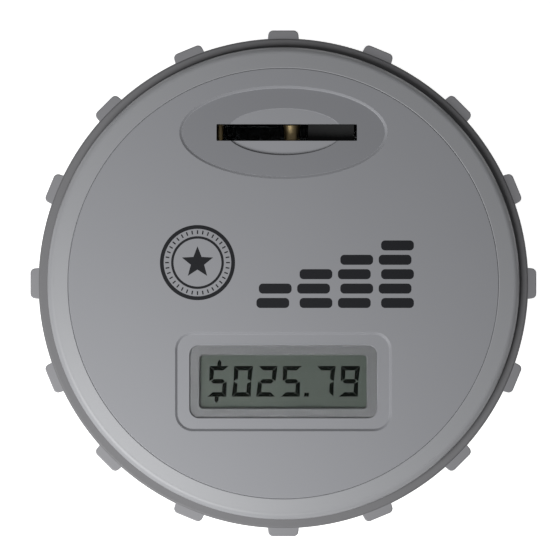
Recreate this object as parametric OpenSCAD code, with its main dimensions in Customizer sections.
// Digital coin counting jar: a clear screw-top jar whose lid measures each coin with a sprung
// lever and shows the running total on a small liquid crystal display.
// Millimetres, +Z up, origin at the centre of the jar's base, +Y towards the coin slot.

/* [Overall] */
// Height from the table to the lid's top face
total_h = 178; // [145:1:220]
// Diameter of the lid's skirt between its grips
skirt_d = 123; // [122:0.5:150]
// How far each grip stands out of the skirt
grip_proud = 2; // [1:0.25:4]
// Number of grips round the lid
grip_count = 16; // [8:1:24]

/* [Jar] */
// Wall of the jar and its neck
jar_wall = 2; // [1.5:0.25:3]
// How much narrower the jar's body is than the lid's skirt
jar_inset = 3; // [1:0.5:8]
// Corner radius round the jar's foot
foot_r = 5; // [3:0.5:10]
// Height of the neck under the lid's deck
neck_h = 34; // [33:0.5:40]

/* [Screw thread] */
// Height gained in one turn of the lid
thread_lead = 12; // [10:0.5:15]
// Depth of the jar's thread
thread_depth = 1.6; // [1.2:0.1:1.8]
// Width of a thread at its root
thread_root_w = 2.4; // [1.6:0.1:2.6]

/* [Lid] */
// Height of the lid from its lower edge to its top face
lid_h = 30; // [29:0.5:40]
// Wall of the lid's skirt
skirt_wall = 2.2; // [2:0.1:3]
// Width of the domed trim ring
ring_w = 5.05; // [4:0.05:8]
// Thickness of the face plate
plate_t = 3; // [2.8:0.1:5]
// Thickness of the lid's deck under the face plate
deck_t = 2.6; // [2:0.1:4]

/* [Coin slot] */
// Length of the coin slot
slot_w = 35.2; // [33:0.1:43]
// Width of the coin slot
slot_t = 4.2; // [4.1:0.1:5]
// Distance of the coin slot from the lid's centre
slot_y = 37.8; // [37:0.1:39]
// Length of the oval dish round the slot
dish_w = 51.8; // [44:0.1:60]
// Width of the oval dish round the slot
dish_h = 23; // [14:0.1:26]
// Depth of the oval dish
dish_deep = 1; // [0.6:0.1:1.2]
// Length of the finger scoop in the dish
scoop_w = 29; // [20:0.5:40]
// Width of the finger scoop in the dish
scoop_h = 11.8; // [8:0.1:13]

/* [Coin lever] */
// Diameter of the brass roller that a coin pushes aside
roller_d = 4.25; // [3.6:0.05:5.4]
// Diameter of the fixed brass guide pin
guide_d = 2; // [1.6:0.1:2.6]
// Diameter of the steel pin that the lever turns on
pivot_d = 2; // [1.6:0.1:2.6]
// Distance from the lever's pivot to its roller
lever_len = 19; // [18:0.1:20]
// How far the lever hangs below level at rest, in degrees
lever_droop = 7; // [4:1:10]

/* [Display] */
// Distance of the display from the lid's centre
display_y = 24.6; // [22:0.1:26]
// Width of the display's outer recess
panel_w = 54; // [50:0.5:58]
// Height of the display's outer recess
panel_h = 24.6; // [21:0.1:26]
// Width of the clear pane over the display
pane_w = 47; // [44:0.5:49]
// Height of the clear pane over the display
pane_h = 18.25; // [16:0.25:20]
// Width of the display's opening
view_w = 41.75; // [36:0.25:43]
// Height of the display's opening
view_h = 13.2; // [11:0.1:14]

/* [Buttons and batteries] */
// Diameter of a button under the lid
button_d = 6.4; // [5:0.1:8]
// Travel of a button
button_travel = 0.5; // [0.3:0.1:0.5]
// Diameter of an AAA cell
cell_d = 10.5; // [10.3:0.1:10.5]
// Length of an AAA cell without its raised contact
cell_len = 43.5; // [43:0.1:43.7]

/* [Hidden] */
$fn = 96;

// Gaps: between bodies that pass each other, round pieces that lie in a pocket, round a turning pin
body_gap = 0.3;
seat_gap = 0.1;
run_gap = 0.04;
thread_gap = 0.02; // round a screw or a pin that is held fast
cut = 0.5; // how far a cutter runs past the face that it cuts

// Heights, from the lid's top face down
face_z = total_h;
deck_top = face_z - plate_t;
deck_z = deck_top - deck_t;
skirt_z = face_z - lid_h;
rim_z = deck_z - body_gap;
floor_top = face_z - 21;
floor_t = 2;
floor_z = floor_top - floor_t;
spout_z = face_z - 31;
board_top = face_z - 9;
board_t = 1.6;
board_z = board_top - board_t;

// Radii
skirt_r = skirt_d / 2;
bore_r = skirt_r - skirt_wall;
shoulder_w = 2.3;
ring_r = skirt_r - shoulder_w;
ring_in = ring_r - ring_w;
plate_r = ring_in - 0.25;
jar_r = skirt_r - jar_inset / 2;
neck_r = bore_r - 2.3;
neck_in = neck_r - jar_wall;
tub_r = neck_in - 3;
tub_wall = 1.8;
deck_in = tub_r - tub_wall - 0.4;

// Screw thread: the lid's ridges run halfway between the jar's
starts = 2;
thread_crest_w = thread_root_w / 2;
jar_thread_z = skirt_z + 5;
jar_thread_turns = 1.1;
lid_thread_z = jar_thread_z - thread_lead / starts / 2;
lid_thread_turns = 0.8;
lid_thread_r = neck_r + 0.8;
thread_bury = 0.8;
ring_steps = 36;

// Coin channel, measured from the slot's middle plane
slot_x = 0.85;
channel = 3.5;
wall_t = 1.2;
sensor_t = 1;
sensor_gap = 0.2;
front_y = -channel - sensor_gap - sensor_t; // front wall's inner face
chute_x0 = -19.3;
chute_x1 = 24.5;
rib_x1 = -1.2;
rib_gap = 2.2;
spout_x0 = chute_x0 - seat_gap;
spout_x1 = chute_x1 + seat_gap;
spout_y0 = slot_y + front_y - wall_t - seat_gap;
spout_y1 = slot_y + channel + wall_t + seat_gap;
ramp_front = slot_y - 6.5;
ramp_back = slot_y + 6.2;
ramp_drop = 16;
ramp_t = 2; // measured level
cheek_t = 1.5;
guide_at = [-16.1, face_z - 8];
pivot_at = [21, face_z - 5.5 - pivot_d / 2]; // a thicker pin hangs lower, clear of the plate
lever_plate_t = 0.9;
lever_half = 3.15;
lever_rest = 180 + lever_droop;
roller_at = pivot_at + lever_len * [cos(lever_rest), sin(lever_rest)];
roller_len = 4.3;
axle_d = 1.2;
web_from = 2.9;
web_to = 14.5;
web_t = 1.2;
spring_wire = 0.25;
spring_r = pivot_d / 2 + 0.65;
web_v = spring_r + spring_wire + 0.02;
peg_r = 0.5;
peg_out = 3.4;
peg_up = spring_r + spring_wire + peg_r + 0.02;
peg_at = pivot_at + [peg_out * cos(lever_droop) - peg_up * sin(lever_droop),
    peg_out * sin(lever_droop) + peg_up * cos(lever_droop)];

// Display stack
panel_z = face_z - 0.6;
pane_t = 0.5;
lcd_rise = 1; // how far the display's cell sits up into the face plate
lcd_top = deck_top + lcd_rise - seat_gap;
lcd_size = [46, 19, 2];
frame_size = [49, 22.6];

// Screws: [x, y] places
board_size = [60, 33];
board_y = -22.5;
board_screw_at = [for (x = [-27, 27], y = [-9.5, -36]) [x, y]];
cover_screw_at = [for (a = [20, 160, 215, 325]) 43 * [cos(a), sin(a)]];
board_screw_r = 1;
cover_screw_r = 1.3;
boss_z = face_z - 8;
screw_well = 9.5; // depth of the wells that hold the cover screws' heads

// Battery bay
bay_x = 25.1;
bay_y0 = 6.2;
bay_y1 = 29.4;
bay_wall = 1.2;
bay_top = face_z - 9.5;
cell_y = [12.2, 23.4];
cell_z = face_z - 15.4;
cell_x0 = -21.5;
nub_len = 1;
nub_d = 3.8;
plate_in = 24.6;
lead_x = 0.2 - plate_in;
door_t = 1.1;
door_gap = 0.25;
door_x0 = -26.3;
door_x1 = 34;
door_y0 = 5.4;
door_y1 = 30.1;
door_screw_at = [30, 17.8];
door_screw_r = 1.1;

// Buttons, from left to right
button_at = [[-14, -27], [0, -27], [14, -27]];
button_proud = 0.8;
flange_t = 0.8;
stem_d = 3;
switch_h = 3.6;
nipple_h = 0.9;

// Outline helpers

function arc(c, r, a0, a1, n = 8) = [for (i = [0:n])
    let (a = a0 + (a1 - a0) * i / n) c + r * [cos(a), sin(a)]];

function rounded(w, h, r) = let (x = w / 2 - r, y = h / 2 - r) concat(
    arc([x, -y], r, -90, 0), arc([x, y], r, 0, 90), arc([-x, y], r, 90, 180), arc([-x, -y], r, 180, 270));

function ellipse(w, h, n = 64) = [for (i = [0:n - 1])
    let (a = 360 * i / n) [w / 2 * cos(a), h / 2 * sin(a)]];

// A plate cut from an outline drawn in X and Z, between two distances from the slot's middle plane
module upright(y0, y1) {
    translate([0, slot_y + y1, 0]) rotate([90, 0, 0]) linear_extrude(y1 - y0) children();
}

// A plate cut from an outline drawn in Y and Z, between two places along X
module side_plate(x0, x1) {
    translate([x0, 0, 0]) rotate([90, 0, 90]) linear_extrude(x1 - x0) children();
}

// A straight round bar across the coin channel
module crossbar(at, r, y0, y1) {
    upright(y0, y1) translate(at) circle(r);
}

module box(lo, hi) {
    translate(lo) cube(hi - lo);
}

// One helical ridge. It is buried at its root radius and fades in and out at its ends.
module ridge(root, crest, z0, turns, turned) {
    n = round(ring_steps * turns);
    fade = 3;
    pts = [for (i = [0:n]) let (
        a = turned + 360 * turns * i / n,
        z = z0 + thread_lead * turns * i / n,
        k = min(1, (i + 1) / fade, (n - i + 1) / fade),
        c = root + (crest - root) * k)
        for (p = [[root, -thread_root_w], [c, -thread_crest_w], [c, thread_crest_w], [root, thread_root_w]])
            [p[0] * cos(a), p[0] * sin(a), z + p[1] / 2]];
    sides = [for (i = [0:n - 1], j = [0:3]) let (a = 4 * i + j, b = 4 * i + (j + 1) % 4)
        for (t = [[a, b + 4, b], [a, a + 4, b + 4]]) t];
    ends = [[0, 1, 2], [0, 2, 3], [4 * n + 2, 4 * n + 1, 4 * n], [4 * n + 3, 4 * n + 2, 4 * n]];
    tris = concat(sides, ends);
    polyhedron(pts, crest < root ? tris : [for (t = tris) [t[0], t[2], t[1]]]);
}

// A coil of round wire about the Z axis, with straight end legs where they are given
module coil(r, wire, height, turns, before = [], after = []) {
    per_turn = 14;
    sides = 6;
    n = round(per_turn * turns);
    round_part = [for (i = [0:n]) let (a = 360 * turns * i / n) [r * cos(a), r * sin(a), height * i / n]];
    path = concat(before, round_part, after);
    last = len(path) - 1;
    function unit(v) = v / norm(v);
    pts = [for (i = [0:last]) let (
        along = unit(path[min(i + 1, last)] - path[max(i - 1, 0)]),
        side = unit(cross(along, [0, 0, 1])),
        up = cross(side, along))
        for (j = [0:sides - 1]) path[i] + wire * (cos(360 * j / sides) * side + sin(360 * j / sides) * up)];
    walls = [for (i = [0:last - 1], j = [0:sides - 1])
        let (a = sides * i + j, b = sides * i + (j + 1) % sides)
        for (t = [[a, b, b + sides], [a, b + sides, a + sides]]) t];
    ends = [[for (j = [sides - 1:-1:0]) j], [for (j = [0:sides - 1]) sides * last + j]];
    polyhedron(pts, concat(walls, ends));
}

// Round wire through points, with a ball at each corner
module wire(points, r) {
    for (i = [0:len(points) - 2]) {
        v = points[i + 1] - points[i];
        translate(points[i]) rotate([0, acos(v[2] / norm(v)), atan2(v[1], v[0])])
            cylinder(r = r, h = norm(v));
        if (i > 0) translate(points[i]) sphere(r * 1.06);
    }
}

// A pan-head screw that points up, with its head's underside at the origin
module screw(shank_r, length, head_r, head_h) {
    cylinder(r = shank_r, h = length);
    translate([0, 0, -head_h]) difference() {
        cylinder(r = head_r, h = head_h);
        for (a = [0, 90]) rotate(a) translate([0, 0, -cut])
            linear_extrude(head_h / 2 + cut) square([head_r * 1.3, head_r * 0.28], center = true);
    }
}

// Jar

module jar_body() {
    out = jar_r;
    shoulder = 2 * (out - neck_r);
    shoulder_z = deck_z - neck_h - shoulder * sin(60);
    bead_z = skirt_z - 4;
    base_z = 1; // the middle of the base is raised, so that the jar stands on its foot's ring
    inside_z = jar_wall + 0.5;
    outer = concat([[out - foot_r - 5, base_z], [out - foot_r - 4, 0]],
        arc([out - foot_r, foot_r], foot_r, -90, 0),
        arc([out - shoulder, shoulder_z], shoulder, 0, 60),
        [[neck_r, bead_z], [neck_r + 1.6, bead_z + 0.8], [neck_r + 1.6, bead_z + 2],
        [neck_r, bead_z + 2.6]]);
    rim = arc([(neck_r + neck_in) / 2, rim_z - jar_wall / 2], jar_wall / 2, 0, 180);
    inner = concat(arc([out - shoulder, shoulder_z], shoulder - jar_wall, 60, 0),
        arc([out - foot_r, inside_z + foot_r - jar_wall], foot_r - jar_wall, 0, -90),
        [[0, inside_z], [0, base_z]]);
    color([0.86, 0.93, 0.96, 0.4]) union() {
        rotate_extrude() polygon(concat(outer, rim, inner));
        for (i = [0:starts - 1])
            ridge(neck_r - thread_bury, neck_r + thread_depth, jar_thread_z, jar_thread_turns,
                360 * i / starts);
    }
}

// Lid's outer shell

module trim_ring() {
    low = deck_top + body_gap;
    edge = 1.7;
    color([0.66, 0.67, 0.69]) rotate_extrude() polygon(concat([[ring_in, low], [ring_r, low]],
        arc([ring_r - edge, face_z - 0.35 - edge], edge, 0, 80),
        arc([ring_in + 0.5, face_z - 0.5], 0.5, 90, 180, 4)));
}

// One grip's outline, drawn across the X axis
function grip_outline() = let (root = skirt_r - 1, tip = skirt_r + grip_proud, half = 3.6, r = 1) concat(
    [[root, -half - 0.5], [skirt_r, -half - 0.4]],
    arc([tip - r, r - half], r, -80, 0, 4), arc([tip - r, half - r], r, 0, 80, 4),
    [[skirt_r, half + 0.4], [root, half + 0.5]]);

module lid_skirt() {
    color([0.5, 0.5, 0.51]) union() {
        rotate_extrude() polygon(concat(
            [[bore_r, skirt_z], [skirt_r, skirt_z]],
            arc([skirt_r - 0.6, deck_top - 0.6], 0.6, 0, 90, 4),
            [[deck_in, deck_top], [deck_in, deck_z], [bore_r, deck_z]]));
        for (i = [0:grip_count - 1]) rotate(360 * i / grip_count)
            translate([0, 0, skirt_z + 1]) linear_extrude(deck_top - skirt_z - 1.3) polygon(grip_outline());
        for (i = [0:starts - 1])
            ridge(bore_r + 0.5, lid_thread_r, lid_thread_z, lid_thread_turns, 360 * i / starts);
    }
}

module face_plate() {
    color([0.58, 0.59, 0.61]) difference() {
        union() {
            rotate_extrude() polygon(concat([[0, deck_top], [plate_r, deck_top]],
                arc([plate_r - 0.4, face_z - 0.4], 0.4, 0, 90, 4), [[0, face_z]]));
            for (p = board_screw_at) translate([p[0], p[1], board_top])
                cylinder(r = 2.3, h = deck_top - board_top + cut);
            for (p = cover_screw_at) translate([p[0], p[1], boss_z])
                cylinder(r = 3.1, h = deck_top - boss_z + cut);
        }
        translate([0, slot_y, face_z - dish_deep]) linear_extrude(dish_deep + cut)
            polygon(ellipse(dish_w, dish_h));
        translate([0, slot_y, face_z - 2 * dish_deep]) linear_extrude(2 * dish_deep)
            polygon(ellipse(scoop_w, scoop_h));
        translate([slot_x, slot_y, deck_top - cut]) linear_extrude(plate_t + cut)
            square([slot_w, slot_t], center = true);
        translate([0, -display_y, 0]) {
            translate([0, 0, panel_z]) linear_extrude(1) polygon(rounded(panel_w, panel_h, 4.3));
            translate([0, 0, panel_z - pane_t]) linear_extrude(2) polygon(rounded(pane_w, pane_h, 2.4));
            translate([0, 0, deck_top - cut]) linear_extrude(plate_t) polygon(rounded(view_w, view_h, 0.9));
            translate([0, 0, deck_top - cut]) linear_extrude(lcd_rise + cut)
                square([lcd_size[0] + 0.6, lcd_size[1] + 0.6], center = true);
        }
        for (p = board_screw_at) translate([p[0], p[1], board_top - cut])
            cylinder(r = board_screw_r + thread_gap, h = 5.5);
        for (p = cover_screw_at) translate([p[0], p[1], boss_z - cut])
            cylinder(r = cover_screw_r + thread_gap, h = 6);
    }
}

// Display and electronics

module display_window() {
    color([0.85, 0.9, 0.9, 0.35]) translate([0, -display_y, panel_z - pane_t]) linear_extrude(pane_t)
        polygon(rounded(pane_w - 2 * seat_gap, pane_h - 2 * seat_gap, 2.3));
}

module lcd_glass() {
    color([0.42, 0.46, 0.43]) translate([0, -display_y, lcd_top - lcd_size[2] / 2])
        cube(lcd_size, center = true);
}

module lcd_frame() {
    high = deck_top - board_top;
    color([0.12, 0.12, 0.13]) translate([0, -display_y, board_top]) linear_extrude(high) difference() {
        polygon(rounded(frame_size[0], frame_size[1], 1));
        square([lcd_size[0] + 0.6, lcd_size[1] + 0.6], center = true);
    }
}

module lcd_connectors() {
    high = lcd_top - lcd_size[2] - board_top;
    color([0.75, 0.3, 0.35]) for (side = [-1, 1])
        translate([0, side * 8.2 - display_y, board_top + high / 2]) cube([42, 2, high], center = true);
}

module main_board() {
    color([0.1, 0.35, 0.2]) difference() {
        translate([0, board_y, board_z]) linear_extrude(board_t) square(board_size, center = true);
        for (p = board_screw_at) translate([p[0], p[1], board_z - cut])
            cylinder(r = board_screw_r + seat_gap, h = board_t + 2 * cut);
    }
}

module chip_blob() {
    dome = 8;
    high = 1.4;
    color([0.05, 0.05, 0.06]) translate([13, -15, board_z - high + dome]) difference() {
        sphere(dome);
        translate([-dome, -dome, high - dome]) cube(2 * dome);
    }
}

module crystal() {
    color([0.75, 0.75, 0.76]) translate([-4, -16, board_z - 1.5]) rotate([0, 90, 0]) cylinder(d = 3, h = 8);
}

module capacitor() {
    color([0.1, 0.15, 0.35]) translate([-18, -16, board_z - 7]) cylinder(d = 5, h = 7);
}

module tact_switches() {
    color([0.15, 0.15, 0.16]) for (p = button_at) translate([p[0], p[1], board_z - switch_h]) {
        translate([-3, -3, 0]) cube([6, 6, switch_h]);
        translate([0, 0, -nipple_h]) cylinder(d = 3.4, h = nipple_h + 0.1);
    }
}

module board_screws() {
    color([0.7, 0.7, 0.7]) for (p = board_screw_at) translate([p[0], p[1], board_z])
        screw(board_screw_r, 6, 1.8, 1.2);
}

// Coin channel and measuring lever

// Upright wall with the holes that both walls share
module chute_wall(y0, y1) {
    upright(y0, y1) difference() {
        translate([chute_x0, spout_z + 1.3]) square([chute_x1 - chute_x0, deck_top - spout_z - 1.4]);
        translate(guide_at) circle(guide_d / 2 + thread_gap);
        translate(pivot_at) circle(pivot_d / 2 + thread_gap);
    }
}

// Thick rib that guides the coin's left part, with the guide pin through it
module chute_rib(y0, y1) {
    upright(y0, y1) difference() {
        translate([chute_x0, spout_z + 1.3]) square([rib_x1 - chute_x0, deck_top - spout_z - 1.4]);
        translate(guide_at) circle(guide_d / 2 + thread_gap);
    }
}

module chute_front() {
    color([0.2, 0.2, 0.21]) difference() {
        union() {
            chute_wall(front_y - wall_t, front_y);
            chute_rib(front_y - 0.1, -rib_gap);
        }
        box([8.5, slot_y + front_y - wall_t - cut, face_z - 6.2], [18.5, slot_y + front_y + cut, face_z]);
    }
}

module chute_rear() {
    color([0.2, 0.2, 0.21]) union() {
        chute_wall(channel, channel + wall_t);
        chute_rib(rib_gap, channel + 0.1);
        crossbar(peg_at, peg_r, -1.5, channel + 0.1);
    }
}

// Steep tray under the spout, closed at both ends. A coin lands on it and slides out at the front.
module chute_ramp() {
    low = spout_z - ramp_drop;
    x0 = spout_x0 - wall_t;
    x1 = spout_x1 + wall_t;
    color([0.2, 0.2, 0.21]) union() {
        side_plate(x0, x1) polygon([[ramp_back - ramp_t, spout_z], [ramp_front, low],
            [ramp_front + ramp_t, low], [ramp_back, spout_z]]);
        for (x = [x0, x1 - cheek_t]) side_plate(x, x + cheek_t) polygon([[ramp_back, spout_z],
            [ramp_front, spout_z], [ramp_front, low], [ramp_front + ramp_t, low]]);
    }
}

module guide_pin() {
    color([0.78, 0.62, 0.3]) crossbar(guide_at, guide_d / 2, front_y - wall_t, channel + wall_t);
}

module pivot_pin() {
    color([0.7, 0.71, 0.73]) crossbar(pivot_at, pivot_d / 2, front_y - wall_t, channel + wall_t);
}

module sensor_board() {
    color([0.1, 0.35, 0.2]) upright(front_y, front_y + sensor_t) difference() {
        translate([4, face_z - 20.5]) square([20.4, 14.5]);
        translate(pivot_at) circle(pivot_d / 2 + seat_gap);
    }
}

module sensor_ribbon() {
    y = slot_y + front_y + sensor_t / 2;
    high = face_z - 5;
    t = 0.3;
    color([0.8, 0.5, 0.2]) side_plate(10, 17) polygon([
        [y, face_z - 6], [y, high], [-9, high], [-9, board_top], [-9 + t, board_top], [-9 + t, high - t],
        [y - t, high - t], [y - t, face_z - 6]]);
}

// Places its children in the lever's own frame, where +X runs from the pivot to the roller and the
// lever's upper edge faces -Y
module on_lever() {
    translate(pivot_at) rotate(lever_rest) children();
}

module coin_lever() {
    tip_r = 1.75;
    color([0.11, 0.11, 0.12]) difference() {
        union() {
            for (y = [-lever_half, lever_half - lever_plate_t]) upright(y, y + lever_plate_t) on_lever() {
                hull() {
                    circle(2.3, $fn = 32);
                    translate([lever_len, 0]) circle(tip_r, $fn = 32);
                }
                translate([web_from, -web_v - 0.1]) square([web_to - web_from, web_v]);
            }
            upright(-lever_half, lever_half) on_lever() translate([web_from, -web_v - web_t])
                square([web_to - web_from, web_t]);
        }
        crossbar(pivot_at, pivot_d / 2 + run_gap, -channel, channel);
        crossbar(roller_at, axle_d / 2 + 0.01, -channel, channel);
    }
}

module lever_roller() {
    color([0.8, 0.64, 0.32]) difference() {
        crossbar(roller_at, roller_d / 2, -roller_len / 2, roller_len / 2);
        crossbar(roller_at, axle_d / 2 + run_gap, -channel, channel);
    }
}

module roller_axle() {
    color([0.7, 0.71, 0.73]) crossbar(roller_at, axle_d / 2, -lever_half, lever_half);
}

module wiper_contact() {
    color([0.82, 0.6, 0.35]) upright(-lever_half - 0.25, -lever_half) on_lever() union() {
        translate([4, -1.2]) square([6, 2.4]);
        for (v = [-0.9, 0.3]) translate([9.9, v]) square([2.6, 0.6]);
    }
}

module lever_spring() {
    long = 2.2;
    color([0.72, 0.73, 0.74]) translate([pivot_at[0], slot_y - long / 2, pivot_at[1]])
        rotate([0, -lever_droop, 0]) rotate([-90, 0, 0]) rotate(-90)
        coil(spring_r, spring_wire, long, 3, [[spring_r, -8, 0]], [[spring_r, peg_out + 0.7, long]]);
}

// Lid's underside

module bottom_cover() {
    color([0.9, 0.9, 0.88]) difference() {
        union() {
            translate([0, 0, floor_z]) difference() {
                cylinder(r = tub_r, h = deck_z - floor_z);
                translate([0, 0, floor_t]) cylinder(r = tub_r - tub_wall, h = deck_z - floor_z);
            }
            box([-bay_x - bay_wall, bay_y0 - bay_wall, floor_top - cut],
                [bay_x + bay_wall, bay_y1 + bay_wall + 0.2, bay_top + 1]);
            intersection() {
                box([spout_x0 - wall_t, spout_y0 - wall_t, spout_z],
                    [spout_x1 + wall_t, spout_y1 + wall_t, floor_top]);
                cylinder(r = tub_r, h = total_h);
            }
            for (p = cover_screw_at) translate([p[0], p[1], floor_top - cut])
                cylinder(r = 4, h = boss_z - floor_top + cut);
            translate([door_screw_at[0], door_screw_at[1], floor_top - cut]) cylinder(r = 3, h = 11);
        }
        box([-bay_x, bay_y0, floor_z - cut], [bay_x, bay_y1, bay_top]);
        box([spout_x0, spout_y0, spout_z + wall_t], [spout_x1, spout_y1, floor_top + cut]);
        box([spout_x0 + 1, slot_y - channel - 0.7, spout_z - cut],
            [spout_x1 - 1, slot_y + channel + seat_gap, spout_z + wall_t + cut]);
        box([door_x0 - door_gap, door_y0 - door_gap, floor_z - cut],
            [door_x1 + door_gap, door_y1 + door_gap, floor_z + door_t + 0.15]);
        translate([door_screw_at[0], door_screw_at[1], floor_z]) cylinder(r = door_screw_r + seat_gap, h = 10);
        for (p = cover_screw_at) translate([p[0], p[1], floor_z - cut]) {
            cylinder(r = 2.9, h = screw_well + cut);
            cylinder(r = cover_screw_r + seat_gap, h = 20);
        }
        for (p = button_at) translate([p[0], p[1], floor_z - cut])
            cylinder(d = button_d + 0.5, h = floor_t + 2 * cut);
        for (y = cell_y) translate([lead_x, y, bay_top - cut]) cylinder(r = 1, h = 2);
    }
}

module cover_screws() {
    color([0.7, 0.7, 0.7]) for (p = cover_screw_at) translate([p[0], p[1], floor_z + screw_well])
        screw(cover_screw_r, 10.5, 2.4, 1.6);
}

// A cell with its raised contact towards +X or -X
module cell(y, way) {
    translate([cell_x0 + (way > 0 ? 0 : cell_len + nub_len), y, cell_z]) rotate([0, 90 * way, 0]) {
        cylinder(d = cell_d, h = cell_len);
        cylinder(d = nub_d, h = cell_len + nub_len);
    }
}

module battery_1() {
    color([0.2, 0.2, 0.22]) cell(cell_y[0], 1);
}

module battery_2() {
    color([0.2, 0.2, 0.22]) cell(cell_y[1], -1);
}

module battery_contacts() {
    half = 4.5;
    t = 0.4;
    color([0.8, 0.8, 0.78]) {
        for (y = cell_y) box([-plate_in - t, y - half, cell_z - half], [-plate_in, y + half, cell_z + half]);
        box([plate_in, cell_y[0] - half, cell_z - half], [plate_in + t, cell_y[1] + half, cell_z + half]);
        translate([cell_x0 + cell_len + nub_len, cell_y[0], cell_z]) rotate([0, 90, 0])
            cylinder(d = 3, h = plate_in - cell_x0 - cell_len - nub_len + t / 2);
        translate([-plate_in - t / 2, cell_y[1], cell_z]) rotate([0, 90, 0])
            cylinder(d = 3, h = cell_x0 + plate_in + t / 2);
    }
}

module battery_springs() {
    left = cell_x0 + plate_in;
    right = plate_in - cell_x0 - cell_len - nub_len;
    wire_r = 0.3;
    color([0.75, 0.76, 0.77]) {
        translate([-plate_in + wire_r, cell_y[0], cell_z]) rotate([0, 90, 0])
            coil(2.8, wire_r, left - 2 * wire_r, 3);
        translate([plate_in - wire_r, cell_y[1], cell_z]) rotate([0, -90, 0])
            coil(2.8, wire_r, right - 2 * wire_r, 2);
    }
}

// A lead from a contact up through the bay's roof and across to the board
module lead(from_y, to_x) {
    high = bay_top + 1.8;
    wire([[lead_x, from_y, cell_z + 4.6], [lead_x, from_y, high], [to_x, -8.5, high],
        [to_x, -8.5, board_top]], 0.5);
}

module red_lead() {
    color([0.75, 0.1, 0.1]) lead(cell_y[1], -20.5);
}

module black_lead() {
    color([0.05, 0.05, 0.05]) lead(cell_y[0], -23.4);
}

module battery_door() {
    color([0.9, 0.9, 0.88]) difference() {
        union() {
            box([door_x0, door_y0, floor_z], [door_x1, door_y1, floor_z + door_t]);
            box([-bay_x + 1, bay_y0 + 0.4, floor_z], [bay_x - 1, bay_y1 - 0.4, floor_top - 0.2]);
        }
        translate([door_screw_at[0], door_screw_at[1], floor_z - cut])
            cylinder(r = door_screw_r + seat_gap, h = 5);
        for (i = [-3:3]) box([-18 + i * 1.6, 12, floor_z - cut], [-17.2 + i * 1.6, 23.6, floor_z + 0.5]);
    }
}

module door_screw() {
    color([0.7, 0.7, 0.7]) translate([door_screw_at[0], door_screw_at[1], floor_z])
        screw(door_screw_r, 8, 2.1, 0.9);
}

// A button's cap, retaining flange and stem
module button(p) {
    top = board_z - switch_h - nipple_h - button_travel - 0.1;
    translate([p[0], p[1], floor_z - button_proud]) {
        cylinder(d = button_d, h = floor_t + button_proud + 0.1);
        translate([0, 0, floor_t + button_proud + 0.05]) cylinder(d = button_d + 2, h = flange_t);
        cylinder(d = stem_d, h = top - floor_z + button_proud);
    }
}

module add_button() {
    color([0.25, 0.25, 0.27]) button(button_at[0]);
}

module subtract_button() {
    color([0.25, 0.25, 0.27]) button(button_at[1]);
}

module reset_button() {
    color([0.6, 0.15, 0.15]) button(button_at[2]);
}

jar_body();
trim_ring();
lid_skirt();
face_plate();
display_window();
lcd_glass();
lcd_frame();
lcd_connectors();
main_board();
chip_blob();
crystal();
capacitor();
tact_switches();
board_screws();
chute_front();
chute_rear();
guide_pin();
sensor_board();
sensor_ribbon();
chute_ramp();
pivot_pin();
coin_lever();
lever_roller();
roller_axle();
wiper_contact();
lever_spring();
bottom_cover();
cover_screws();
battery_1();
battery_2();
battery_contacts();
battery_springs();
red_lead();
black_lead();
battery_door();
door_screw();
add_button();
subtract_button();
reset_button();
